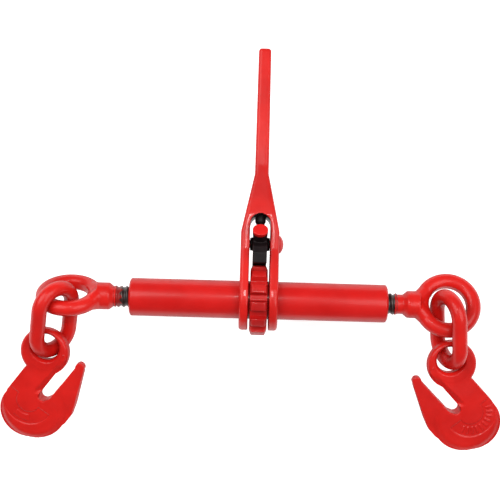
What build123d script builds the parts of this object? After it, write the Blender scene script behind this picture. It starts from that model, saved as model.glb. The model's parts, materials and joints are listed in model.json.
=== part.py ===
from build123d import *
import os
from math import asin, cos, radians, sin

os.makedirs("parts", exist_ok=True)

# Ratchet load binder with a short link and a grab hook at each end, lying on a
# flat surface. +X runs along the barrel, +Y along the handle, +Z up. The origin
# is under the middle of the whole binder, on the surface it lies on.

# ---------------------------------------------------------------- driving sizes
# where the barrel's middle lies
barrel_x = 4.6
barrel_y = -51.4
barrel_z = 33.75

# barrel
barrel_length = 250.0
barrel_radius = 18.25
barrel_bore_radius = 13.5
plug_seat_radius = 15.0
plug_seat_depth = 23.8
end_cone_axial = 2.9
end_cone_radial = 8.7

# screw thread and its stop
thread_radius = 10.5
thread_clearance = 0.3
neck_radius = 9.4
spigot_radius = 5.5
spigot_length = 12.0
thread_lead_in = 1.5
thread_runout = 1.0
screw_inner_end = 18.0
washer_radius = 13.1
washer_thickness = 4.0
washer_gap = 0.3
stop_pin_radius = 2.0
stop_pin_wall = 0.8
stop_pin_length = 20.0

# eye at the outer end of each screw
eye_centre = 182.5
eye_ring_radius = 24.75
eye_stock_radius = 7.5
hole_margin = 1.0
collar_start = 143.5
collar_radius = 13.1
collar_end = 155.5
flare_start = 139.0
left_thread_end = 138.9
right_thread_end = 133.0
left_eye_tilt = 60.9
right_eye_tilt = 20.75

# ratchet gear
gear_width = 16.6
gear_teeth = 12
gear_tip_radius = 33.75
gear_root_radius = 27.5
tooth_tip_half = 4.2
tooth_root_half = 4.5
tooth_root_bury = 4.0
tooth_chamfer_radial = 4.3
tooth_chamfer_axial = 1.9
gear_backlash = -1.2
gear_pin_radius = 2.5
gear_pin_wall = 1.0
gear_pin_inner = 14.0
gear_pin_outer = 26.5

# handle, a forged fork with a tapered shank
handle_lean = 5.75
handle_length = 247.0
ear_outer = 18.5
ear_inner = 9.9
ear_disc_radius = 29.0
ear_bore_radius = 18.35
ear_neck = 8.0
ear_neck_half_depth = 28.4
ear_top = 48.3
ear_top_half_depth = 19.0
ear_half_depth = 18.0
flare_from = 65.0
flare_to = 122.0
shank_half_width = 6.75
shank_end_half_width = 6.15
shank_start = 130.0
shank_half_depth = 11.5
shank_end_half_depth = 9.0
slot_top = 82.0
slot_cut = 160.0
edge_round = 3.0

# pawl, its pin, and the plunger that presses on it
pin_height = 54.3
pin_radius = 4.0
pin_head_radius = 8.5
pin_head_height = 4.4
pin_head_rim = 1.2
pawl_bore_radius = 4.1
hub_radius = 6.4
hub_half_width = 9.5
pawl_half_width = 6.8
pawl_swing = 24.8
crown_radius = 16.1
crown_half_angle = 25.0
toe_inner = 18.3
toe_outer = 21.3
toe_tip = 25.3
toe_shoulder = 24.6
toe_shoulder_height = 16.5
underside = 18.2
pawl_front_cheek = (13.0, 8.0)
pawl_lever_foot = (15.0, -3.5)
pawl_front_waist = (23.1, -9.5)
pawl_back_waist = (-23.1, -9.5)
pawl_back_cheek = (-11.0, 2.0)
lever_root = 6.0
lever_root_half_width = 6.6
lever_root_half_height = 5.2
lever_reach = 31.0
lever_angle = 8.4
lever_end_half_width = 7.5
lever_end_half_height = 6.0
plunger_tip = 70.7
plunger_tip_radius = 2.7
plunger_radius = 5.2
plunger_shoulder = 76.0
plunger_back = 92.0
spring_seat = 108.0
spring_bore_radius = 5.3
spring_radius = 4.2
spring_wire_radius = 0.7
spring_turns = 6
spring_gap = 0.1

# short link
link_half_width = 19.5
link_straight = 27.0
link_stock_radius = 7.25

# grab hook: drawn flat with its bowl centred on the origin and its eye at +Y;
# the left hook is drawn with x turned about
bowl_circles = (((-1.0, -1.0), 31.8), ((6.0, -6.0), 27.6))
hook_reach = 57.5
hook_eye_radius = 24.0
hook_eye_half_depth = 6.4
hook_eye_round = 4.4
# the eye's hole is set towards the outer end, and flares at both faces
hook_hole_radius = 13.1
hook_hole_offset = (-0.6, 5.5)
hook_hole_flare = 3.3
hook_hole_land = 3.4
eye_overlap = 4.6
hook_half_depth = 7.5
hook_shank = ((29.6, 10.0), (15.6, 38.6), (-18.5, 62.0), (-22.4, 57.5), (-12.0, 0.0))
hook_tongue = (
    (-27.0, -17.0),
    (-32.9, -9.6),
    (-37.7, 0.5),
    (-39.2, 12.0),
    (-40.2, 28.0),
    (-41.6, 49.0),
    (-33.0, 51.0),
    (-8.0, 0.0),
)
tongue_tip = (-37.1, 51.9)
tongue_tip_radius = 4.5
# the throat: two corners at its seat, and a straight run out past the tongue
throat_corners = ((-7.4, 13.1), (-10.6, 15.8))
throat_corner_radius = 4.6
throat_mouth = ((-34.8, 71.0), (-36.5, 71.0))
throat_mouth_radius = 4.3
# the tongue thins towards its tip, more on the underside than on top
throat_line = ((-9.0, 14.5), (-0.426, 0.905))
tongue_length = 52.0
tongue_under_cut = 6.2
tongue_top_cut = 1.6

# where the links and hooks lie: offset from the barrel's middle, then turns
# about the local X, Y and Z axes
left_link_offset = (-194.8, -23.5, 9.6)
left_link_turns = (32.5, 47.2, 79.4)
right_link_offset = (183.3, -22.9, 5.5)
right_link_turns = (-149.9, 64.8, -102.7)
left_hook_offset = (-215.0, -108.9, -16.4)
left_hook_turns = (14.9, -7.9, -11.1)
right_hook_offset = (205.5, -109.7, -18.2)
right_hook_turns = (13.3, 4.6, 17.1)

# ------------------------------------------------------------------ worked out
middle = Vector(barrel_x, barrel_y, barrel_z)
half_length = barrel_length / 2
nut_inner = half_length - plug_seat_depth
nut_bore_radius = thread_radius + thread_clearance
cone_slope = end_cone_axial / end_cone_radial
spigot_end = screw_inner_end + spigot_length
washer_outer_face = spigot_end - washer_gap
washer_inner_face = washer_outer_face - washer_thickness
stop_pin_x = washer_inner_face - washer_gap - stop_pin_radius
up_tilt = Location(middle, (-handle_lean, 0, 0))


def cone_x(radius):
    """Where the shallow cone on the barrel's end stands at a radius."""
    return half_length - end_cone_axial + (barrel_radius - radius) * cone_slope


def placed(offset, turns):
    """A place given as an offset from the barrel's middle and three turns."""
    return Location(middle + Vector(*offset), turns)


# the section plane through the barrel's axis: local x along the barrel, y up
along = Plane(origin=middle, x_dir=(1, 0, 0), z_dir=(0, -1, 0))
# the plane across the barrel, seen from its right end
across = Plane(origin=middle, x_dir=(0, 1, 0), z_dir=(1, 0, 0))
# the handle's own planes: its front, its side, and square across its length
front = Plane(up_tilt)
side = Plane(origin=middle, x_dir=front.y_dir, z_dir=front.x_dir)


def handle_plane(height):
    """A plane square to the handle, a height above the barrel's axis."""
    return Plane(
        origin=middle + front.y_dir * height, x_dir=front.x_dir, z_dir=front.y_dir
    )


barrel_axis = Axis(middle, (1, 0, 0))
pin_middle = middle + front.y_dir * pin_height

# ------------------------------------------------------------------- the barrel
with BuildPart() as barrel_tube:
    with BuildSketch(along):
        with BuildLine():
            Polyline(
                (-cone_x(plug_seat_radius), plug_seat_radius),
                (-cone_x(barrel_radius), barrel_radius),
                (cone_x(barrel_radius), barrel_radius),
                (cone_x(plug_seat_radius), plug_seat_radius),
                (nut_inner, plug_seat_radius),
                (nut_inner, barrel_bore_radius),
                (-nut_inner, barrel_bore_radius),
                (-nut_inner, plug_seat_radius),
                close=True,
            )
        make_face()
    revolve(axis=barrel_axis)
    # the cross hole for the pin that keys the gear
    with BuildSketch(Plane(origin=middle, x_dir=(1, 0, 0), z_dir=side.x_dir)):
        Circle(gear_pin_radius)
    extrude(amount=-gear_tip_radius, mode=Mode.SUBTRACT)
barrel_tube.part.label = "barrel_tube"
export_step(barrel_tube.part, "parts/barrel_tube.step")

for name, sign in (("left_end_nut", -1), ("right_end_nut", 1)):
    with BuildPart() as end_nut:
        with BuildSketch(along):
            with BuildLine():
                Polyline(
                    (sign * nut_inner, nut_bore_radius),
                    (sign * nut_inner, plug_seat_radius),
                    (sign * cone_x(plug_seat_radius), plug_seat_radius),
                    (sign * cone_x(nut_bore_radius), nut_bore_radius),
                    close=True,
                )
            make_face()
        revolve(axis=barrel_axis)
    end_nut.part.label = name
    export_step(end_nut.part, f"parts/{name}.step")

# --------------------------------------------------------------- the ratchet gear
# a tooth space faces along the handle, less the backlash
tooth_pitch = 360 / gear_teeth
first_tooth = tooth_pitch / 2 + gear_backlash - handle_lean
with BuildPart() as ratchet_gear:
    with BuildSketch(across.offset(-gear_width / 2)):
        Circle(gear_root_radius)
        with PolarLocations(0, gear_teeth, start_angle=first_tooth):
            Polygon(
                (gear_root_radius - tooth_root_bury, -tooth_root_half),
                (gear_tip_radius + 1, -tooth_tip_half),
                (gear_tip_radius + 1, tooth_tip_half),
                (gear_root_radius - tooth_root_bury, tooth_root_half),
                align=None,
            )
        Circle(gear_tip_radius, mode=Mode.INTERSECT)
        Circle(barrel_radius, mode=Mode.SUBTRACT)
    extrude(amount=gear_width)
    # both faces of the tooth ring slope back towards the tips
    for sign in (-1, 1):
        with BuildSketch(along):
            with BuildLine():
                Polyline(
                    (sign * gear_width / 2, gear_tip_radius - tooth_chamfer_radial),
                    (sign * (gear_width / 2 + 1), gear_tip_radius - tooth_chamfer_radial),
                    (sign * (gear_width / 2 + 1), gear_tip_radius + 1),
                    (
                        sign * (gear_width / 2 - tooth_chamfer_axial),
                        gear_tip_radius + 0.01,
                    ),
                    close=True,
                )
            make_face()
        revolve(axis=barrel_axis, mode=Mode.SUBTRACT)
    with BuildSketch(Plane(origin=middle, x_dir=(1, 0, 0), z_dir=side.x_dir)):
        Circle(gear_pin_radius)
    extrude(amount=-gear_tip_radius, mode=Mode.SUBTRACT)
ratchet_gear.part.label = "ratchet_gear"
export_step(ratchet_gear.part, "parts/ratchet_gear.step")

with BuildPart() as gear_roll_pin:
    with BuildSketch(
        Plane(
            origin=middle - side.x_dir * gear_pin_inner,
            x_dir=(1, 0, 0),
            z_dir=-side.x_dir,
        )
    ):
        Circle(gear_pin_radius)
        Circle(gear_pin_radius - gear_pin_wall, mode=Mode.SUBTRACT)
    extrude(amount=gear_pin_outer - gear_pin_inner)
gear_roll_pin.part.label = "gear_roll_pin"
export_step(gear_roll_pin.part, "parts/gear_roll_pin.step")

# -------------------------------------------------------------------- the handle
with BuildPart() as handle:
    # front outline: two ears, a flare, and a shank that narrows to its end
    with BuildSketch(front.offset(-ear_disc_radius - 1)):
        with BuildLine():
            Polyline(
                (-ear_outer, -ear_disc_radius - 1),
                (-ear_outer, flare_from),
                (-shank_half_width, flare_to),
                (-shank_end_half_width, handle_length),
                (shank_end_half_width, handle_length),
                (shank_half_width, flare_to),
                (ear_outer, flare_from),
                (ear_outer, -ear_disc_radius - 1),
                close=True,
            )
        make_face()
    extrude(amount=2 * ear_disc_radius + 2)
    # side outline: discs round the barrel, then a tapering bar
    with BuildSketch(side.offset(-ear_outer - 1)):
        Circle(ear_disc_radius)
        with BuildLine():
            Polyline(
                (0, -ear_disc_radius),
                (ear_neck, -ear_neck_half_depth),
                (ear_top, -ear_top_half_depth),
                (slot_top, -ear_half_depth),
                (shank_start, -shank_half_depth),
                (handle_length, -shank_end_half_depth),
                (handle_length, shank_end_half_depth),
                (shank_start, shank_half_depth),
                (slot_top, ear_half_depth),
                (ear_top, ear_top_half_depth),
                (ear_neck, ear_neck_half_depth),
                (0, ear_disc_radius),
                close=True,
            )
        make_face()
    extrude(amount=2 * ear_outer + 2, mode=Mode.INTERSECT)
    fillet(handle.edges(), radius=edge_round)
    # the slot between the ears, with a round top
    with BuildSketch(front.offset(-ear_disc_radius - 2)):
        with Locations((0, slot_top - ear_inner - slot_cut / 2)):
            Rectangle(2 * ear_inner, slot_cut)
        with Locations((0, slot_top - ear_inner)):
            Circle(ear_inner)
    extrude(amount=2 * ear_disc_radius + 4, mode=Mode.SUBTRACT)
    # bore for the barrel, bore for the pawl pin, blind bore for the plunger
    with BuildSketch(side.offset(-ear_outer - 1)):
        Circle(ear_bore_radius)
        with Locations((pin_height, 0)):
            Circle(pin_radius)
    extrude(amount=2 * ear_outer + 2, mode=Mode.SUBTRACT)
    with BuildSketch(handle_plane(slot_top - 2 * ear_inner)):
        Circle(spring_bore_radius)
    extrude(amount=spring_seat - slot_top + 2 * ear_inner, mode=Mode.SUBTRACT)
handle.part.label = "handle"
export_step(handle.part, "parts/handle.step")

# -------------------------------------------------------- the pawl and its pivot
# at rest the back toe sits in the gear, half the swing from the middle
pawl_tilt = pawl_swing / 2


def pawl_point(across_handle, up_handle):
    """A point of the pawl's side outline, turned into its resting position."""
    turn = radians(pawl_tilt)
    return (
        across_handle * cos(turn) - up_handle * sin(turn),
        across_handle * sin(turn) + up_handle * cos(turn),
    )


def crown_point(angle):
    """A point on the crown that the plunger rides on."""
    turn = radians(angle)
    return pawl_point(crown_radius * sin(turn), crown_radius * cos(turn))


lever_rise = radians(lever_angle + pawl_tilt)
lever_dir = front.z_dir * cos(lever_rise) + front.y_dir * sin(lever_rise)
# local x towards the handle's front, local y up the handle
pawl_plane = Plane(origin=pin_middle, x_dir=front.z_dir, z_dir=-front.x_dir)
with BuildPart() as pawl:
    with BuildSketch(pawl_plane.offset(-pawl_half_width)):
        with BuildLine():
            ThreePointArc(
                crown_point(-crown_half_angle),
                crown_point(0),
                crown_point(crown_half_angle),
            )
            Polyline(
                crown_point(crown_half_angle),
                pawl_point(*pawl_front_cheek),
                pawl_point(*pawl_lever_foot),
                pawl_point(*pawl_front_waist),
                pawl_point(toe_shoulder, -toe_shoulder_height),
                pawl_point(toe_outer, -toe_tip),
                pawl_point(toe_inner, -toe_tip),
                pawl_point(toe_inner, -underside),
                pawl_point(-toe_inner, -underside),
                pawl_point(-toe_inner, -toe_tip),
                pawl_point(-toe_outer, -toe_tip),
                pawl_point(-toe_shoulder, -toe_shoulder_height),
                pawl_point(*pawl_back_waist),
                pawl_point(*pawl_back_cheek),
                crown_point(-crown_half_angle),
            )
        make_face()
    extrude(amount=2 * pawl_half_width)
    # full width boss round the pin
    with BuildSketch(pawl_plane.offset(-hub_half_width)):
        Circle(hub_radius)
    extrude(amount=2 * hub_half_width)
    # thumb lever that swells to an oval end
    for along_lever, half_width, half_height in (
        (lever_root, lever_root_half_width, lever_root_half_height),
        (lever_reach, lever_end_half_width, lever_end_half_height),
    ):
        with BuildSketch(
            Plane(
                origin=pin_middle + lever_dir * along_lever,
                x_dir=front.x_dir,
                z_dir=lever_dir,
            )
        ):
            Ellipse(half_width, half_height)
    loft()
    with BuildSketch(pawl_plane.offset(-hub_half_width - 1)):
        Circle(pawl_bore_radius)
    extrude(amount=2 * hub_half_width + 2, mode=Mode.SUBTRACT)
pawl.part.label = "pawl"
export_step(pawl.part, "parts/pawl.step")

# the head is a slice of a sphere on a short rim
dome_top = ear_outer + pin_head_height
dome_foot = ear_outer + pin_head_rim
dome_rise = pin_head_height - pin_head_rim
dome_sphere = (pin_head_radius**2 + dome_rise**2) / (2 * dome_rise)
dome_half_angle = asin(pin_head_radius / dome_sphere)
with BuildPart() as pawl_pin:
    with BuildSketch(Plane(origin=pin_middle, x_dir=front.x_dir, z_dir=-front.z_dir)):
        with BuildLine():
            Polyline(
                (dome_top, 0),
                (-ear_outer, 0),
                (-ear_outer, pin_radius),
                (ear_outer, pin_radius),
                (ear_outer, pin_head_radius),
                (dome_foot, pin_head_radius),
            )
            ThreePointArc(
                (dome_foot, pin_head_radius),
                (
                    dome_top - dome_sphere * (1 - cos(dome_half_angle / 2)),
                    dome_sphere * sin(dome_half_angle / 2),
                ),
                (dome_top, 0),
            )
        make_face()
    revolve(axis=Axis(pin_middle, front.x_dir))
pawl_pin.part.label = "pawl_pin"
export_step(pawl_pin.part, "parts/pawl_pin.step")

handle_axis = Axis(middle, front.y_dir)
with BuildPart() as plunger:
    with BuildSketch(front):
        with BuildLine():
            Polyline(
                (0, plunger_tip),
                (plunger_tip_radius, plunger_tip),
                (plunger_radius, plunger_shoulder),
                (plunger_radius, plunger_back),
                (0, plunger_back),
                close=True,
            )
        make_face()
    revolve(axis=handle_axis)
plunger.part.label = "plunger"
export_step(plunger.part, "parts/plunger.step")

# compression spring, coiled between the plunger and the bottom of its bore
spring_start = plunger_back + spring_wire_radius + spring_gap
spring_height = spring_seat - spring_wire_radius - spring_gap - spring_start
with BuildPart() as plunger_spring:
    with BuildLine() as spring_line:
        Helix(
            pitch=spring_height / spring_turns,
            height=spring_height,
            radius=spring_radius,
            center=middle + front.y_dir * spring_start,
            direction=front.y_dir,
        )
    with BuildSketch(Plane(origin=spring_line.line @ 0, z_dir=spring_line.line % 0)):
        Circle(spring_wire_radius)
    sweep(is_frenet=True)
plunger_spring.part.label = "plunger_spring"
export_step(plunger_spring.part, "parts/plunger_spring.step")

# ------------------------------------------------------ the screws and their stops
screw_sides = (
    ("left", -1, left_thread_end, left_eye_tilt),
    ("right", 1, right_thread_end, right_eye_tilt),
)
for name, sign, thread_end, eye_tilt in screw_sides:
    with BuildPart() as screw_eye:
        with BuildSketch(along):
            with BuildLine():
                Polyline(
                    (sign * screw_inner_end, 0),
                    (sign * screw_inner_end, spigot_radius),
                    (sign * spigot_end, spigot_radius),
                    (sign * spigot_end, thread_radius - thread_lead_in),
                    (sign * (spigot_end + thread_lead_in), thread_radius),
                    (sign * (thread_end - thread_runout), thread_radius),
                    (sign * thread_end, neck_radius),
                    (sign * flare_start, neck_radius),
                    (sign * collar_start, collar_radius),
                    (sign * collar_end, collar_radius),
                    (sign * collar_end, 0),
                    close=True,
                )
            make_face()
        revolve(axis=barrel_axis)
        # the eye's ring leans about the barrel's axis
        ring_centre = middle + Vector(sign * eye_centre, 0, 0)
        ring_plane = Plane(
            origin=ring_centre,
            x_dir=(1, 0, 0),
            z_dir=(0, -sin(radians(eye_tilt)), -cos(radians(eye_tilt))),
        )
        ring_section = Plane(origin=ring_centre, x_dir=(1, 0, 0), z_dir=ring_plane.y_dir)
        with BuildSketch(ring_section):
            with Locations((eye_ring_radius, 0)):
                Circle(eye_stock_radius)
        revolve(axis=Axis(ring_centre, ring_plane.z_dir))
        # clear the hole of the eye
        with BuildSketch(ring_plane.offset(-collar_radius)):
            Circle(eye_ring_radius - eye_stock_radius + hole_margin)
        extrude(amount=2 * collar_radius, mode=Mode.SUBTRACT)
        # cross hole for the stop pin
        pin_centre = middle + Vector(sign * stop_pin_x, 0, 0)
        with BuildSketch(Plane(origin=pin_centre, x_dir=(1, 0, 0), z_dir=(0, 0, 1))):
            Circle(stop_pin_radius)
        extrude(amount=spigot_radius * 2, both=True, mode=Mode.SUBTRACT)
    screw_eye.part.label = f"{name}_screw_eye"
    export_step(screw_eye.part, f"parts/{name}_screw_eye.step")

    with BuildPart() as stop_washer:
        with BuildSketch(across.offset(sign * washer_inner_face)):
            Circle(washer_radius)
            Circle(spigot_radius + washer_gap, mode=Mode.SUBTRACT)
        extrude(amount=sign * washer_thickness)
    stop_washer.part.label = f"{name}_stop_washer"
    export_step(stop_washer.part, f"parts/{name}_stop_washer.step")

    with BuildPart() as stop_pin:
        with BuildSketch(
            Plane(
                origin=middle + Vector(sign * stop_pin_x, 0, -stop_pin_length / 2),
                x_dir=(1, 0, 0),
                z_dir=(0, 0, 1),
            )
        ):
            Circle(stop_pin_radius)
            Circle(stop_pin_radius - stop_pin_wall, mode=Mode.SUBTRACT)
        extrude(amount=stop_pin_length)
    stop_pin.part.label = f"{name}_stop_pin"
    export_step(stop_pin.part, f"parts/{name}_stop_pin.step")

# ------------------------------------------------------------------ the short links
for name, offset, turns in (
    ("left_link", left_link_offset, left_link_turns),
    ("right_link", right_link_offset, right_link_turns),
):
    link_plane = Plane(placed(offset, turns))
    leg_start = link_plane.from_local_coords((-link_straight / 2, link_half_width, 0))
    with BuildPart() as link:
        with BuildLine(link_plane):
            half = link_straight / 2
            Line((-half, link_half_width), (half, link_half_width))
            ThreePointArc(
                (half, link_half_width),
                (half + link_half_width, 0),
                (half, -link_half_width),
            )
            Line((half, -link_half_width), (-half, -link_half_width))
            ThreePointArc(
                (-half, -link_half_width),
                (-half - link_half_width, 0),
                (-half, link_half_width),
            )
        leg_section = Plane(origin=leg_start, x_dir=link_plane.z_dir, z_dir=link_plane.x_dir)
        with BuildSketch(leg_section):
            Circle(link_stock_radius)
        sweep()
    link.part.label = name
    export_step(link.part, f"parts/{name}.step")

# ------------------------------------------------------------------ the grab hooks
for name, offset, turns, flip in (
    ("left_grab_hook", left_hook_offset, left_hook_turns, -1),
    ("right_grab_hook", right_hook_offset, right_hook_turns, 1),
):
    hook_plane = Plane(placed(offset, turns))
    back_face = hook_plane.offset(-hook_half_depth)
    with BuildPart() as hook:
        with BuildSketch(back_face):
            with BuildSketch(mode=Mode.PRIVATE) as bowl:
                for (x, y), radius in bowl_circles:
                    with Locations((flip * x, y)):
                        Circle(radius)
                make_hull(bowl.edges())
            add(bowl.sketch)
            Polygon(*[(flip * x, y) for x, y in hook_shank], align=None)
            Polygon(*[(flip * x, y) for x, y in hook_tongue], align=None)
        extrude(amount=2 * hook_half_depth)
        # throat, with round corners at its seat
        with BuildSketch(back_face) as throat:
            for x, y in throat_corners:
                with Locations((flip * x, y)):
                    Circle(throat_corner_radius)
            for x, y in throat_mouth:
                with Locations((flip * x, y)):
                    Circle(throat_mouth_radius)
            make_hull(throat.edges())
        extrude(amount=2 * hook_half_depth, mode=Mode.SUBTRACT)
        # rounded end of the tongue
        with BuildSketch(back_face):
            with Locations((flip * tongue_tip[0], tongue_tip[1])):
                Circle(tongue_tip_radius)
        extrude(amount=2 * hook_half_depth)
        # the tongue's taper: wedges that start in the open throat and run outwards
        start, along = throat_line
        wedge_origin = hook_plane.from_local_coords((flip * start[0], start[1], 0))
        ahead = hook_plane.from_local_coords((flip * along[0], along[1], 0))
        outwards = hook_plane.from_local_coords((-flip * along[1], along[0], 0))
        wedge_plane = Plane(
            origin=wedge_origin,
            x_dir=ahead - hook_plane.origin,
            z_dir=outwards - hook_plane.origin,
        )
        side = 1 if wedge_plane.y_dir.dot(hook_plane.z_dir) > 0 else -1
        with BuildSketch(wedge_plane):
            for half, cut in ((-side, tongue_under_cut), (side, tongue_top_cut)):
                Polygon(
                    (0, half * hook_half_depth),
                    (0, half * (hook_half_depth + 1)),
                    (tongue_length, half * (hook_half_depth + 1)),
                    (tongue_length, half * (hook_half_depth - cut)),
                    align=None,
                )
        extrude(amount=tongue_length, mode=Mode.SUBTRACT)
        # a clear hole for the eye
        with BuildSketch(back_face):
            with Locations((0, hook_reach)):
                Circle(hook_eye_radius - eye_overlap)
        extrude(amount=2 * hook_half_depth, mode=Mode.SUBTRACT)
        # the eye's disc, with round edges
        with BuildPart(mode=Mode.PRIVATE) as eye_disc:
            with BuildSketch(hook_plane.offset(-hook_eye_half_depth)):
                with Locations((0, hook_reach)):
                    Circle(hook_eye_radius)
            extrude(amount=2 * hook_eye_half_depth)
            fillet(eye_disc.edges().filter_by(GeomType.CIRCLE), radius=hook_eye_round)
        add(eye_disc.part)
        # the hole, flared at both faces
        hole_x, hole_y = hook_hole_offset
        hole_middle = hook_plane.from_local_coords((flip * hole_x, hook_reach + hole_y, 0))
        hole_outline = (
            (0, hook_half_depth),
            (hook_hole_radius + hook_hole_flare, hook_half_depth),
            (hook_hole_radius, hook_hole_land),
            (hook_hole_radius, -hook_hole_land),
            (hook_hole_radius + hook_hole_flare, -hook_half_depth),
            (0, -hook_half_depth),
        )
        with BuildSketch(Plane(origin=hole_middle, x_dir=hook_plane.x_dir, z_dir=hook_plane.y_dir)):
            Polygon(*hole_outline, align=None)
        revolve(axis=Axis(hole_middle, hook_plane.z_dir), mode=Mode.SUBTRACT)
    hook.part.label = name
    export_step(hook.part, f"parts/{name}.step")
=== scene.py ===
import json
import math

import bmesh
import bpy
import numpy as np
from mathutils import Matrix, Vector


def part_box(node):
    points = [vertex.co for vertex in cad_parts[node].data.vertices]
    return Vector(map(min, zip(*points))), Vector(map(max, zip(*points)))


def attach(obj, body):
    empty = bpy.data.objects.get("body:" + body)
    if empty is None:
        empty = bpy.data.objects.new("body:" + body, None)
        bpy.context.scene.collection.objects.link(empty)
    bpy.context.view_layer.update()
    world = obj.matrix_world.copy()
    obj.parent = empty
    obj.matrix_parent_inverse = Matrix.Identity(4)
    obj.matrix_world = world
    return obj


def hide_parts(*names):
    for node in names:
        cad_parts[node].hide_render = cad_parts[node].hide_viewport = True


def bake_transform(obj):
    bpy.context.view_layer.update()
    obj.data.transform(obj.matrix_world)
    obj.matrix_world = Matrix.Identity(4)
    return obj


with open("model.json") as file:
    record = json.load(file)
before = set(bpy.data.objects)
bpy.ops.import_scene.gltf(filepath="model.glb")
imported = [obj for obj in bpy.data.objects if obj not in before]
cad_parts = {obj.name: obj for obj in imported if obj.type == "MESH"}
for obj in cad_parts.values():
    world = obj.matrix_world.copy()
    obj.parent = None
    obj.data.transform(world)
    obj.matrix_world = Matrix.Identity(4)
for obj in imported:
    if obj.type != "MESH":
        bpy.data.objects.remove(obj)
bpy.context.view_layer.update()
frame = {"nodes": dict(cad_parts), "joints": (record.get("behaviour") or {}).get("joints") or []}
nodes = frame["nodes"]
joints = {j["name"]: j for j in frame["joints"]}
MM = 0.001

# the barrel's middle, and the handle's length direction from the plunger's slide
middle = Vector(joints["handle_turn"]["pos_m"])
up_handle = Vector(joints["plunger_press"]["axis"]).normalized()
along_x = Vector((1, 0, 0))
front_out = along_x.cross(up_handle).normalized()
pin_middle = Vector(joints["pawl_flip"]["pos_m"])

# where each hook and link lies: offset from the barrel's middle in mm, then turns
# about the local X, Y and Z axes in degrees
LIE = {
    "left_link": ((-194.8, -23.5, 9.6), (32.5, 47.2, 79.4)),
    "right_link": ((183.3, -22.9, 5.5), (-149.9, 64.8, -102.7)),
    "left_grab_hook": ((-215.0, -108.9, -16.4), (14.9, -7.9, -11.1)),
    "right_grab_hook": ((205.5, -109.7, -18.2), (13.3, 4.6, 17.1)),
}

# the screws' eyes in mm, and how far each ring is turned about the barrel's axis
EYE_TILT = {"left": 60.9, "right": 20.75}
EYE_CENTRE = 182.5
RING_RADIUS = 24.75
RING_STOCK = 7.2
COLLAR_X = 151.0
COLLAR_RADIUS = 12.6
WEB_SWING = 36.0
WEB_POINTS = 24

# the threads in mm: where each starts and ends, and how much of its end took paint
THREAD_START = 30.0
THREAD_END = {"left": 138.9, "right": 133.0}
THREAD_RADIUS = 10.45
THREAD_DEPTH = 1.45
THREAD_PITCH = 5.08
THREAD_RUN_IN = 4.0
THREAD_RUN_OUT = 3.0
THREAD_OVERRUN = 1.2
END_CHAMFER = 0.9
ROWS_PER_PITCH = 12
POINTS_PER_TURN = 48
PAINTED = {"left": 7.0, "right": 1.5}
PAINT_RAGGED = 1.4

# the barrel's shell in mm
SHELL_OVERHANG = 1.1
SHELL_GAP = 0.02
SHELL_BEVEL = 1.8
SHELL_SEAT = (15.0, 24.0)
SHELL_BORE = 13.5
SHELL_ROUND = 1.2

# the handle's dark crotch and the pawl's painted lever end, in mm
CROTCH = (67.0, 85.0)
CROTCH_HALF_WIDTH = 9.0
LEVER_PAINT = 26.5

# a grab hook's own drawing in mm and degrees, from the middle of its bowl
HOOK_REACH = 57.5
HOOK_RIM = 33.2
HOOK_HALF_DEPTH = 7.5
EYE_HALF_DEPTH = 6.3
RIM_THINNING = 0.42
PANEL_CENTRE = 6.0
PANEL_RADII = (11.2, 25.6)
PANEL_SOFT = 1.2
PANEL_DEPTH = 0.75
RIB_PITCH = 14.5
RIB_HALF_WIDTH = 1.1


def lie(name):
    """The 4x4 that takes a piece's own drawing, in mm, to the row frame."""
    offset, turns = LIE[name]
    turn = Matrix.Identity(4)
    for angle, axis in zip(turns, "XYZ"):
        turn = turn @ Matrix.Rotation(math.radians(angle), 4, axis)
    return Matrix.Translation(middle + Vector(offset) * MM) @ turn @ Matrix.Scale(MM, 4)


# ---------------------------------------------------------------------- materials
def new_material(name):
    mat = bpy.data.materials.new(name)
    mat.use_nodes = True
    tree = mat.node_tree
    shader = tree.nodes["Principled BSDF"]
    coords = tree.nodes.new("ShaderNodeTexCoord")
    return mat, tree, shader, coords.outputs["Object"]


def coords_node(tree):
    return next(n for n in tree.nodes if n.bl_idname == "ShaderNodeTexCoord")


def noise(tree, where, scale, detail=3.0, rough=0.55):
    node = tree.nodes.new("ShaderNodeTexNoise")
    node.inputs["Scale"].default_value = scale
    node.inputs["Detail"].default_value = detail
    node.inputs["Roughness"].default_value = rough
    tree.links.new(where, node.inputs["Vector"])
    return node.outputs["Fac"]


def remap(tree, value, low, high, to_low, to_high):
    node = tree.nodes.new("ShaderNodeMapRange")
    node.inputs["From Min"].default_value = low
    node.inputs["From Max"].default_value = high
    node.inputs["To Min"].default_value = to_low
    node.inputs["To Max"].default_value = to_high
    tree.links.new(value, node.inputs["Value"])
    return node.outputs["Result"]


def blend_colour(tree, factor, first, second):
    node = tree.nodes.new("ShaderNodeMix")
    node.data_type = "RGBA"
    tree.links.new(factor, node.inputs["Factor"])
    for socket, value in ((node.inputs["A"], first), (node.inputs["B"], second)):
        if isinstance(value, tuple):
            socket.default_value = (*value, 1.0)
        else:
            tree.links.new(value, socket)
    return node.outputs["Result"]


def bump(tree, shader, layers):
    """Stacks height layers given as (height, strength, distance in metres)."""
    last = None
    for height, strength, distance in layers:
        node = tree.nodes.new("ShaderNodeBump")
        node.inputs["Strength"].default_value = strength
        node.inputs["Distance"].default_value = distance
        tree.links.new(height, node.inputs["Height"])
        if last is not None:
            tree.links.new(last, node.inputs["Normal"])
        last = node.outputs["Normal"]
    tree.links.new(last, shader.inputs["Normal"])


def edges_of(tree):
    """Convex edges white, hollows black, from the shape of the mesh."""
    return tree.nodes.new("ShaderNodeNewGeometry").outputs["Pointiness"]


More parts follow.
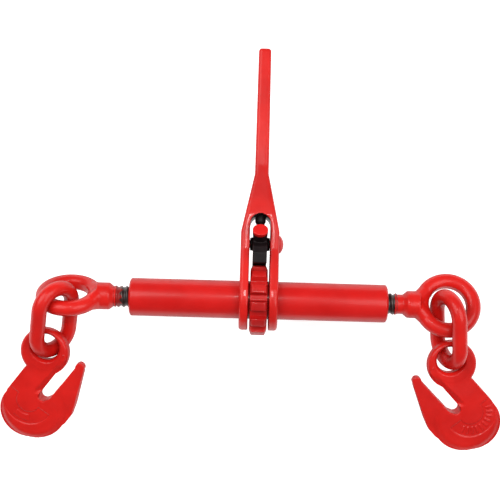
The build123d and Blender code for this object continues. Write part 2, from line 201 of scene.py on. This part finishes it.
def enamel(name, bright, deep, grain):
    """Thick glossy enamel over a forging: flow marks, orange peel, thin edges, and painted shade in
    the hollows and on the sides and undersides.
    """
    mat, tree, shader, where = new_material(name)
    clouds = remap(tree, noise(tree, where, 22, 4), 0.35, 0.68, 0, 1)
    colour = blend_colour(tree, clouds, bright, deep)
    # painted shade: hollows (low pointiness) are darkened towards a deeper red, standing in for the
    # shade that falls in them
    hollow_shade = remap(tree, edges_of(tree), 0.40, 0.50, 1, 0)
    colour = blend_colour(tree, hollow_shade, colour, tuple(0.55 * c for c in deep))
    thin = remap(tree, edges_of(tree), 0.53, 0.62, 0, 0.5)
    colour = blend_colour(tree, thin, colour, tuple(min(1, 1.08 * c + 0.012) for c in bright))
    dust = remap(tree, noise(tree, where, 900, 2), 0.66, 0.74, 0, 0.25)
    colour = blend_colour(tree, dust, colour, (0.45, 0.05, 0.04))
    turned = tree.nodes.new("ShaderNodeSeparateXYZ")
    tree.links.new(coords_node(tree).outputs["Normal"], turned.inputs["Vector"])
    # painted shade: faces that turn sideways or down (object-space normal) are darkened, standing in
    # for light falling off away from the lamps above
    side_shade = remap(tree, turned.outputs["Z"], -0.25, 0.62, 0.72, 0)
    colour = blend_colour(tree, side_shade, colour, tuple(0.30 * c for c in deep))
    tree.links.new(colour, shader.inputs["Base Color"])
    patches = noise(tree, where, 70, 3)
    tree.links.new(remap(tree, patches, 0.3, 0.7, 0.30, 0.44), shader.inputs["Roughness"])
    # the sprayed sides are duller than the faces that took the full coat
    tree.links.new(
        remap(tree, turned.outputs["Z"], 0.0, 0.6, 0.0, 0.22),
        shader.inputs["Specular IOR Level"],
    )
    tree.links.new(
        remap(tree, turned.outputs["Z"], 0.1, 0.65, 0.0, 0.2), shader.inputs["Coat Weight"]
    )
    shader.inputs["Coat Roughness"].default_value = 0.12
    bump(
        tree,
        shader,
        [
            (noise(tree, where, 60, 3), 0.20 * grain, 0.0009),
            (noise(tree, where, 320, 2), 0.22 * grain, 0.0003),
            (noise(tree, where, 1300, 2), 0.08, 0.0001),
        ],
    )
    return mat


def bare_steel(name, light, dark, rough, grain_scale, metallic=1.0):
    """Oiled steel: blotchy oxide, fine scratches across the grain, worn edges."""
    mat, tree, shader, where = new_material(name)
    blotches = remap(tree, noise(tree, where, 90, 5), 0.35, 0.65, 0, 1)
    colour = blend_colour(tree, blotches, light, dark)
    worn = remap(tree, edges_of(tree), 0.53, 0.60, 0, 0.6)
    colour = blend_colour(tree, worn, colour, tuple(min(1, 2.2 * c + 0.03) for c in light))
    tree.links.new(colour, shader.inputs["Base Color"])
    shader.inputs["Metallic"].default_value = metallic
    shader.inputs["Specular IOR Level"].default_value = 0.5 if metallic > 0.5 else 0.2
    tree.links.new(
        remap(tree, noise(tree, where, 200, 4), 0.3, 0.7, rough - 0.08, rough + 0.12),
        shader.inputs["Roughness"],
    )
    bump(
        tree,
        shader,
        [
            (noise(tree, where, grain_scale, 4), 0.25, 0.0003),
            (noise(tree, where, 1600, 2), 0.15, 0.0001),
        ],
    )
    return mat


RED = enamel("red_enamel", (0.74, 0.011, 0.009), (0.60, 0.006, 0.005), 1.0)
RED_FORGED = enamel("red_enamel_forged", (0.74, 0.013, 0.009), (0.56, 0.007, 0.005), 1.6)
RED_WORN = enamel("red_enamel_worn", (0.62, 0.013, 0.011), (0.42, 0.006, 0.006), 3.0)
RED_THIN = enamel("red_enamel_thin", (0.36, 0.012, 0.010), (0.16, 0.010, 0.009), 1.6)
BLACK = bare_steel("black_oxide", (0.016, 0.009, 0.010), (0.008, 0.005, 0.006), 0.46, 300, 0.1)
THREAD = bare_steel("thread_steel", (0.115, 0.100, 0.095), (0.045, 0.038, 0.036), 0.38, 400, 0.8)
STEEL = bare_steel("plain_steel", (0.42, 0.41, 0.40), (0.28, 0.27, 0.26), 0.33, 500)
SPRING = bare_steel("spring_steel", (0.30, 0.30, 0.31), (0.18, 0.18, 0.19), 0.30, 700)


# ------------------------------------------------------------------- mesh helpers
def linked(name, data):
    """A new object that holds the data, in the scene."""
    obj = bpy.data.objects.new(name, data)
    bpy.context.scene.collection.objects.link(obj)
    return obj


def bare_copy(node):
    """A copy of a CAD node's mesh, with no material."""
    mesh = nodes[node].data.copy()
    mesh.materials.clear()
    return mesh


def piece(name, verts, faces, body, mats, node):
    """A closed mesh in the row frame that stands for a CAD node."""
    mesh = bpy.data.meshes.new(name)
    mesh.from_pydata([tuple(v) for v in verts], [], [tuple(f) for f in faces])
    mesh.update()
    obj = linked(name, mesh)
    finish_piece(obj, body, mats, node)
    return obj


def finish_piece(obj, body, mats, node):
    """Materials, smooth shading, and the body that the piece rides on."""
    for mat in mats:
        obj.data.materials.append(mat)
    obj.data.shade_smooth()
    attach(obj, body)
    if node:
        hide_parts(node)


def applied(obj):
    """The object's mesh with its modifiers worked in."""
    graph = bpy.context.evaluated_depsgraph_get()
    graph.update()
    mesh = bpy.data.meshes.new_from_object(obj.evaluated_get(graph))
    old = obj.data
    obj.modifiers.clear()
    obj.data = mesh
    bpy.data.meshes.remove(old)
    return obj


def coords_of(mesh):
    flat = np.empty(len(mesh.vertices) * 3, np.float32)
    mesh.vertices.foreach_get("co", flat)
    return flat.reshape(-1, 3).astype(float)


def set_coords(mesh, co):
    mesh.vertices.foreach_set("co", co.astype(np.float32).ravel())
    mesh.update()


def second_material(obj, chosen):
    """Gives the second material to each face that chosen(face, corners) picks."""
    for face in obj.data.polygons:
        face.material_index = 1 if chosen(face, list(face.vertices)) else 0


def forged(name, node, voxel, rounds, extra=None, cut=None):
    """A CAD node's shape as a forging: remeshed, with every edge rounded off."""
    mesh = bare_copy(node)
    work = bmesh.new()
    work.from_mesh(mesh)
    bmesh.ops.remove_doubles(work, verts=work.verts, dist=1e-6)
    if cut:
        where, normal = cut
        halves = bmesh.ops.bisect_plane(
            work,
            geom=work.verts[:] + work.edges[:] + work.faces[:],
            plane_co=where,
            plane_no=normal,
            clear_inner=True,
        )
        rim = [g for g in halves["geom_cut"] if isinstance(g, bmesh.types.BMEdge)]
        bmesh.ops.holes_fill(work, edges=rim)
    if extra:
        extra(work)
    work.to_mesh(mesh)
    work.free()
    obj = linked(name, mesh)
    remesh = obj.modifiers.new("remesh", "REMESH")
    remesh.mode = "VOXEL"
    remesh.voxel_size = voxel * MM * 1.0
    smooth = obj.modifiers.new("smooth", "SMOOTH")
    smooth.factor = 0.5
    smooth.iterations = max(1, int(rounds / (1)))
    return applied(obj)


def lathe(profile, centre, steps=128):
    """Verts and faces of a closed ring turned about +X: profile is (x, r) in mm."""
    verts = []
    faces = []
    count = len(profile)
    for i in range(steps):
        a = 2 * math.pi * i / steps
        for x, r in profile:
            verts.append(centre + Vector((x, r * math.cos(a), r * math.sin(a))) * MM)
    for i in range(steps):
        j = (i + 1) % steps
        for k in range(count):
            m = (k + 1) % count
            faces.append((i * count + k, i * count + m, j * count + m, j * count + k))
    return verts, faces


def rounded(points, radius, steps=5):
    """A closed (x, r) outline with each corner turned into a small arc."""
    out = []
    count = len(points)
    for i, point in enumerate(points):
        here = np.array(point, float)
        back = np.array(points[i - 1], float) - here
        ahead = np.array(points[(i + 1) % count], float) - here
        reach = min(radius, 0.4 * np.linalg.norm(back), 0.4 * np.linalg.norm(ahead))
        start = here + back / np.linalg.norm(back) * reach
        end = here + ahead / np.linalg.norm(ahead) * reach
        for k in range(steps + 1):
            t = k / steps
            out.append(tuple((1 - t) ** 2 * start + 2 * t * (1 - t) * here + t * t * end))
    return out


def smoothstep(low, high, value):
    t = np.clip((value - low) / (high - low), 0, 1)
    return t * t * (3 - 2 * t)


def sculpt_hook(obj, lie_of, sign):
    """Forging detail on a grab hook: thinned edges, a sunk panel and its marks."""
    back = np.array(lie_of.inverted())
    out = np.array(lie_of)
    local = coords_of(obj.data) @ back[:3, :3].T + back[:3, 3]
    x = local[:, 0] * sign
    y = local[:, 1]
    z = local[:, 2]
    side_of = np.sign(z)
    depth = np.abs(z)
    # how much a point belongs to the flat faces, and not to the sides or the eye
    face = smoothstep(5.0, 7.0, depth) * (1 - smoothstep(40, 47, y))
    # the outer rim of the bowl, and the tongue towards its tip, are drawn thinner
    rim = smoothstep(HOOK_RIM - 9.0, HOOK_RIM + 0.5, np.hypot(x - 1, y + 1))
    rim = rim * (1 - smoothstep(0, 26, y))
    thin = 1 - RIM_THINNING * rim**1.6
    # a bevel along the throat side of the shank
    off = 0.902 * x + 0.431 * y - 3.5
    bevel = smoothstep(14, 20, y) * (1 - smoothstep(42, 56, y)) * (off > -2.0) * (x > -23)
    limit = HOOK_HALF_DEPTH - 0.72 * np.clip(6.0 - off, 0, 6.2)
    # the plate runs down to the eye's height, with no step round the eye
    from_eye = np.hypot(x, y - HOOK_REACH)
    rise = HOOK_HALF_DEPTH - EYE_HALF_DEPTH
    plate = EYE_HALF_DEPTH + rise * smoothstep(18.0, 36.0, from_eye)
    depth = np.where((from_eye > 17) & (y < 60), np.minimum(depth, plate), depth)
    depth = depth * thin
    depth = np.where(bevel > 0, np.minimum(depth, depth + (limit - depth) * bevel), depth)
    # the sunk arc panel and the short marks that stand in it
    r = np.hypot(x - PANEL_CENTRE, y - PANEL_CENTRE)
    angle = np.degrees(np.arctan2(y - PANEL_CENTRE, x - PANEL_CENTRE))
    turn = (angle + 170) % 360
    inner, outer = PANEL_RADII
    inside = smoothstep(inner, inner + PANEL_SOFT, r) * (1 - smoothstep(outer - PANEL_SOFT, outer, r))
    inside = inside * smoothstep(10, 15, turn) * (1 - smoothstep(194, 200, turn))
    if sign > 0:
        step = (turn - 20) % RIB_PITCH
        width = RIB_HALF_WIDTH / np.maximum(r, 8) * 57.3
        mark = 1 - smoothstep(width * 0.55, width, np.abs(step - RIB_PITCH / 2))
        mark = mark * smoothstep(14.6, 15.8, r) * (1 - smoothstep(21.2, 22.4, r))
        mark = mark * (turn > 30) * (turn < 180)
    else:
        mark = (1 - smoothstep(2.6, 3.6, np.abs(r - 18.2))) * smoothstep(66, 72, turn)
        mark = 0.75 * mark * (1 - smoothstep(112, 118, turn))
    sunk = PANEL_DEPTH * inside * (1 - mark)
    depth = depth - sunk * face
    local[:, 2] = side_of * np.maximum(depth, 0)
    set_coords(obj.data, local @ out[:3, :3].T + out[:3, 3])


def flare(work, sign, ring_dir):
    """Two webs that run from the collar into the ring, so that they meet in one sweep."""
    ring_middle = middle + Vector((sign * EYE_CENTRE * MM, 0, 0))
    swing = math.radians(WEB_SWING)
    across_ring = along_x.cross(ring_dir)
    for way in (-1, 1):
        inwards = Vector((-sign * math.cos(swing), 0, 0)) + ring_dir * way * math.sin(swing)
        spot = ring_middle + inwards * RING_RADIUS * MM
        points = []
        for k in range(WEB_POINTS):
            a = 2 * math.pi * k / WEB_POINTS
            rim = Vector((sign * COLLAR_X, COLLAR_RADIUS * math.cos(a), COLLAR_RADIUS * math.sin(a)))
            points.append(middle + rim * MM)
            points.append(
                spot + (inwards * math.cos(a) + across_ring * math.sin(a)) * RING_STOCK * MM
            )
        verts = [work.verts.new(p) for p in points]
        made = bmesh.ops.convex_hull(work, input=verts)
        loose = [g for g in made["geom_interior"] if isinstance(g, bmesh.types.BMVert)]
        bmesh.ops.delete(work, geom=loose, context="VERTS")


def thread_mesh(side, sign):
    """Verts and faces of a bar with a helix ground into it, left-hand on the left."""
    length = THREAD_END[side] - THREAD_START
    steps = int(length / THREAD_PITCH * ROWS_PER_PITCH)
    verts = []
    for i in range(steps + 1):
        x = THREAD_START + length * i / steps
        run_in = (x - THREAD_START) / THREAD_RUN_IN
        run_out = (THREAD_END[side] + THREAD_OVERRUN - x) / THREAD_RUN_OUT
        fade = min(1.0, run_in, run_out)
        for k in range(POINTS_PER_TURN):
            a = 2 * math.pi * k / POINTS_PER_TURN
            phase = (x / THREAD_PITCH - k / POINTS_PER_TURN) % 1.0
            depth = THREAD_DEPTH * (0.5 - 0.5 * math.cos(2 * math.pi * phase)) ** 0.8
            r = THREAD_RADIUS - depth * max(0.0, fade) - (END_CHAMFER if fade < 0.02 else 0.0)
            spot = Vector((sign * x, r * math.cos(a), r * math.sin(a) * sign))
            verts.append(middle + spot * MM)
    count = POINTS_PER_TURN
    faces = []
    for i in range(steps):
        near = i * count
        far = near + count
        for k in range(count):
            m = (k + 1) % count
            faces.append((near + k, near + m, far + m, far + k))
    faces.append(tuple(range(count))[::-1])
    faces.append(tuple(steps * count + k for k in range(count)))
    return verts, faces


# ------------------------------------------------------------------ barrel and nuts
lo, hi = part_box("barrel_tube")
half_length = (hi.x - lo.x) / 2 / MM + SHELL_OVERHANG
shell_radius = (hi.z - lo.z) / 2 / MM - SHELL_GAP
seat_radius, seat_depth = SHELL_SEAT
outline = rounded(
    [
        (-half_length, seat_radius + SHELL_GAP),
        (-half_length + SHELL_BEVEL, shell_radius),
        (half_length - SHELL_BEVEL, shell_radius),
        (half_length, seat_radius + SHELL_GAP),
        (half_length - seat_depth, seat_radius),
        (half_length - seat_depth, SHELL_BORE),
        (-half_length + seat_depth, SHELL_BORE),
        (-half_length + seat_depth, seat_radius),
    ],
    SHELL_ROUND,
)
verts, faces = lathe(outline, middle)
piece("barrel_shell", verts, faces, "barrel", [RED], "barrel_tube")

# -------------------------------------------------------------------- forged pieces
gear = forged("gear_forging", "ratchet_gear", voxel=0.5, rounds=9)
finish_piece(gear, "barrel", [RED_WORN], "ratchet_gear")
handle = forged("handle_forging", "handle", voxel=0.75, rounds=8)
finish_piece(handle, "handle", [RED_FORGED, BLACK], "handle")
# the crotch's faces under the plunger's bore that face down towards the barrel take the black
# material
from_barrel = (coords_of(handle.data) - np.array(middle)) / MM
up_by = from_barrel @ np.array(up_handle)
across = from_barrel[:, 0] - (pin_middle.x - middle.x) / MM


def in_crotch(face, corners):
    between = CROTCH[0] < up_by[corners].mean() < CROTCH[1]
    between = between and abs(across[corners].mean()) < CROTCH_HALF_WIDTH
    return between and face.normal.dot(up_handle) < -0.3


second_material(handle, in_crotch)

pawl = forged("pawl_forging", "pawl", voxel=0.45, rounds=5)
finish_piece(pawl, "pawl", [BLACK, RED], "pawl")
# the outer end of the pawl's lever took paint
from_pin = (coords_of(pawl.data) - np.array(pin_middle)) / MM
out_by = from_pin @ np.array(front_out)
above_pin = from_pin @ np.array(up_handle)


def lever_end(face, corners):
    return out_by[corners].mean() > LEVER_PAINT and above_pin[corners].mean() > 0


second_material(pawl, lever_end)

# --------------------------------------------------------------------- chain ends
for side, sign in (("left", -1), ("right", 1)):
    body = f"{side}_screw"
    node = f"{side}_screw_eye"
    # the eye is kept from just inside the thread's end outwards
    start = middle + Vector((sign * (THREAD_END[side] - 2.0) * MM, 0, 0))
    tilt = math.radians(EYE_TILT[side])
    eye = forged(
        f"{side}_eye_forging",
        node,
        voxel=0.6,
        rounds=12,
        extra=lambda work: flare(work, sign, Vector((0, -math.cos(tilt), math.sin(tilt)))),
        cut=(start, Vector((sign, 0, 0))),
    )
    finish_piece(eye, body, [RED_FORGED], None)
    verts, faces = thread_mesh(side, sign)
    thread = piece(f"{side}_thread", verts, faces, body, [THREAD, RED_THIN], node)
    paint_from = THREAD_END[side] - PAINTED[side]

    def painted(face, corners):
        """Paint that reached the thread next to the eye, with a ragged edge."""
        spot = face.center - middle
        ragged = PAINT_RAGGED * math.sin(9 * math.atan2(spot.z, spot.y))
        return sign * spot.x / MM + ragged > paint_from

    second_material(thread, painted)

    link = forged(f"{side}_link_forging", f"{side}_link", voxel=0.55, rounds=3)
    finish_piece(link, f"{side}_link", [RED_FORGED], f"{side}_link")
    hook = forged(f"{side}_hook_forging", f"{side}_grab_hook", voxel=0.5, rounds=12)
    sculpt_hook(hook, lie(f"{side}_grab_hook"), sign)
    finish_piece(hook, f"{side}_hook", [RED_FORGED], f"{side}_grab_hook")

# the coil behind the plunger, copied from the CAD spring
coil = linked("spring_coil", bare_copy("plunger_spring"))
coil.data.materials.append(SPRING)
coil.data.shade_smooth()
heights = (coords_of(coil.data) - np.array(pin_middle)) @ np.array(up_handle)
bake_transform(coil)
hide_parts("plunger_spring")

# ------------------------------------------------------- CAD nodes that stay as made
for node, mat, slot_name in (
    ("left_end_nut", RED, "red_paint"),
    ("right_end_nut", RED, "red_paint"),
    ("gear_roll_pin", SPRING, "spring_steel"),
    ("pawl_pin", RED, "red_paint"),
    ("plunger", BLACK, "black_steel"),
    ("left_stop_washer", STEEL, "plain_steel"),
    ("right_stop_washer", STEEL, "plain_steel"),
    ("left_stop_pin", SPRING, "spring_steel"),
    ("right_stop_pin", SPRING, "spring_steel"),
):
    kept = nodes[node]
    kept.data.materials.clear()
    kept.data.materials.append(mat)

# ------------------------------------------------------------ floor, light, camera
# the floor lies below the lowest point that a hook reaches when its link swings down
FLOOR_HEIGHT = -0.062
FLOOR_HALF = 4
mesh = bpy.data.meshes.new("floor")
square = ((-1, -1), (1, -1), (1, 1), (-1, 1))
corners = [(x * FLOOR_HALF, y * FLOOR_HALF, FLOOR_HEIGHT) for x, y in square]
mesh.from_pydata(corners, [], [(0, 1, 2, 3)])
floor = linked("floor", mesh)
paper, tree, shader, where = new_material("pale_floor")
tone = blend_colour(tree, noise(tree, where, 3), (0.93, 0.93, 0.93), (0.90, 0.90, 0.90))
tree.links.new(tone, shader.inputs["Base Color"])
shader.inputs["Roughness"].default_value = 0.9
shader.inputs["Specular IOR Level"].default_value = 0.1
shader.inputs["Emission Color"].default_value = (1, 1, 1, 1)
shader.inputs["Emission Strength"].default_value = 0.62
floor.data.materials.append(paper)


LIT_POINT = Vector((0, 0, 0.03))


def area_light(name, where, size, power):
    """A round lamp that faces the middle of the binder."""
    lamp = bpy.data.lights.new(name, "AREA")
    lamp.shape = "DISK"
    lamp.size = size
    lamp.energy = power
    obj = linked(name, lamp)
    obj.location = where
    obj.rotation_euler = (LIT_POINT - Vector(where)).to_track_quat("-Z", "Y").to_euler()


area_light("flash", (0.0, 0.42, 1.35), size=0.10, power=2.0)
area_light("left_softbox", (-0.8, 0.45, 1.3), size=1.2, power=14)
area_light("right_softbox", (0.8, 0.1, 1.3), size=1.2, power=13)
world = bpy.data.worlds.new("studio")
world.use_nodes = True
background = world.node_tree.nodes["Background"]
background.inputs["Color"].default_value = (1, 1, 1, 1)
background.inputs["Strength"].default_value = 0.22
bpy.context.scene.world = world

camera_data = bpy.data.cameras.new("camera")
camera_data.lens = 85.8
camera_data.sensor_width = 36
camera = linked("camera", camera_data)
# nearly straight above the barrel, and turned a little
camera.location = middle + Vector((-9.4, 48.2, 1150.0)) * MM
camera.rotation_euler = (0, 0, math.radians(1.62))
bpy.context.scene.camera = camera
bpy.context.scene.view_settings.view_transform = "Standard"
bpy.context.scene.view_settings.look = "None"
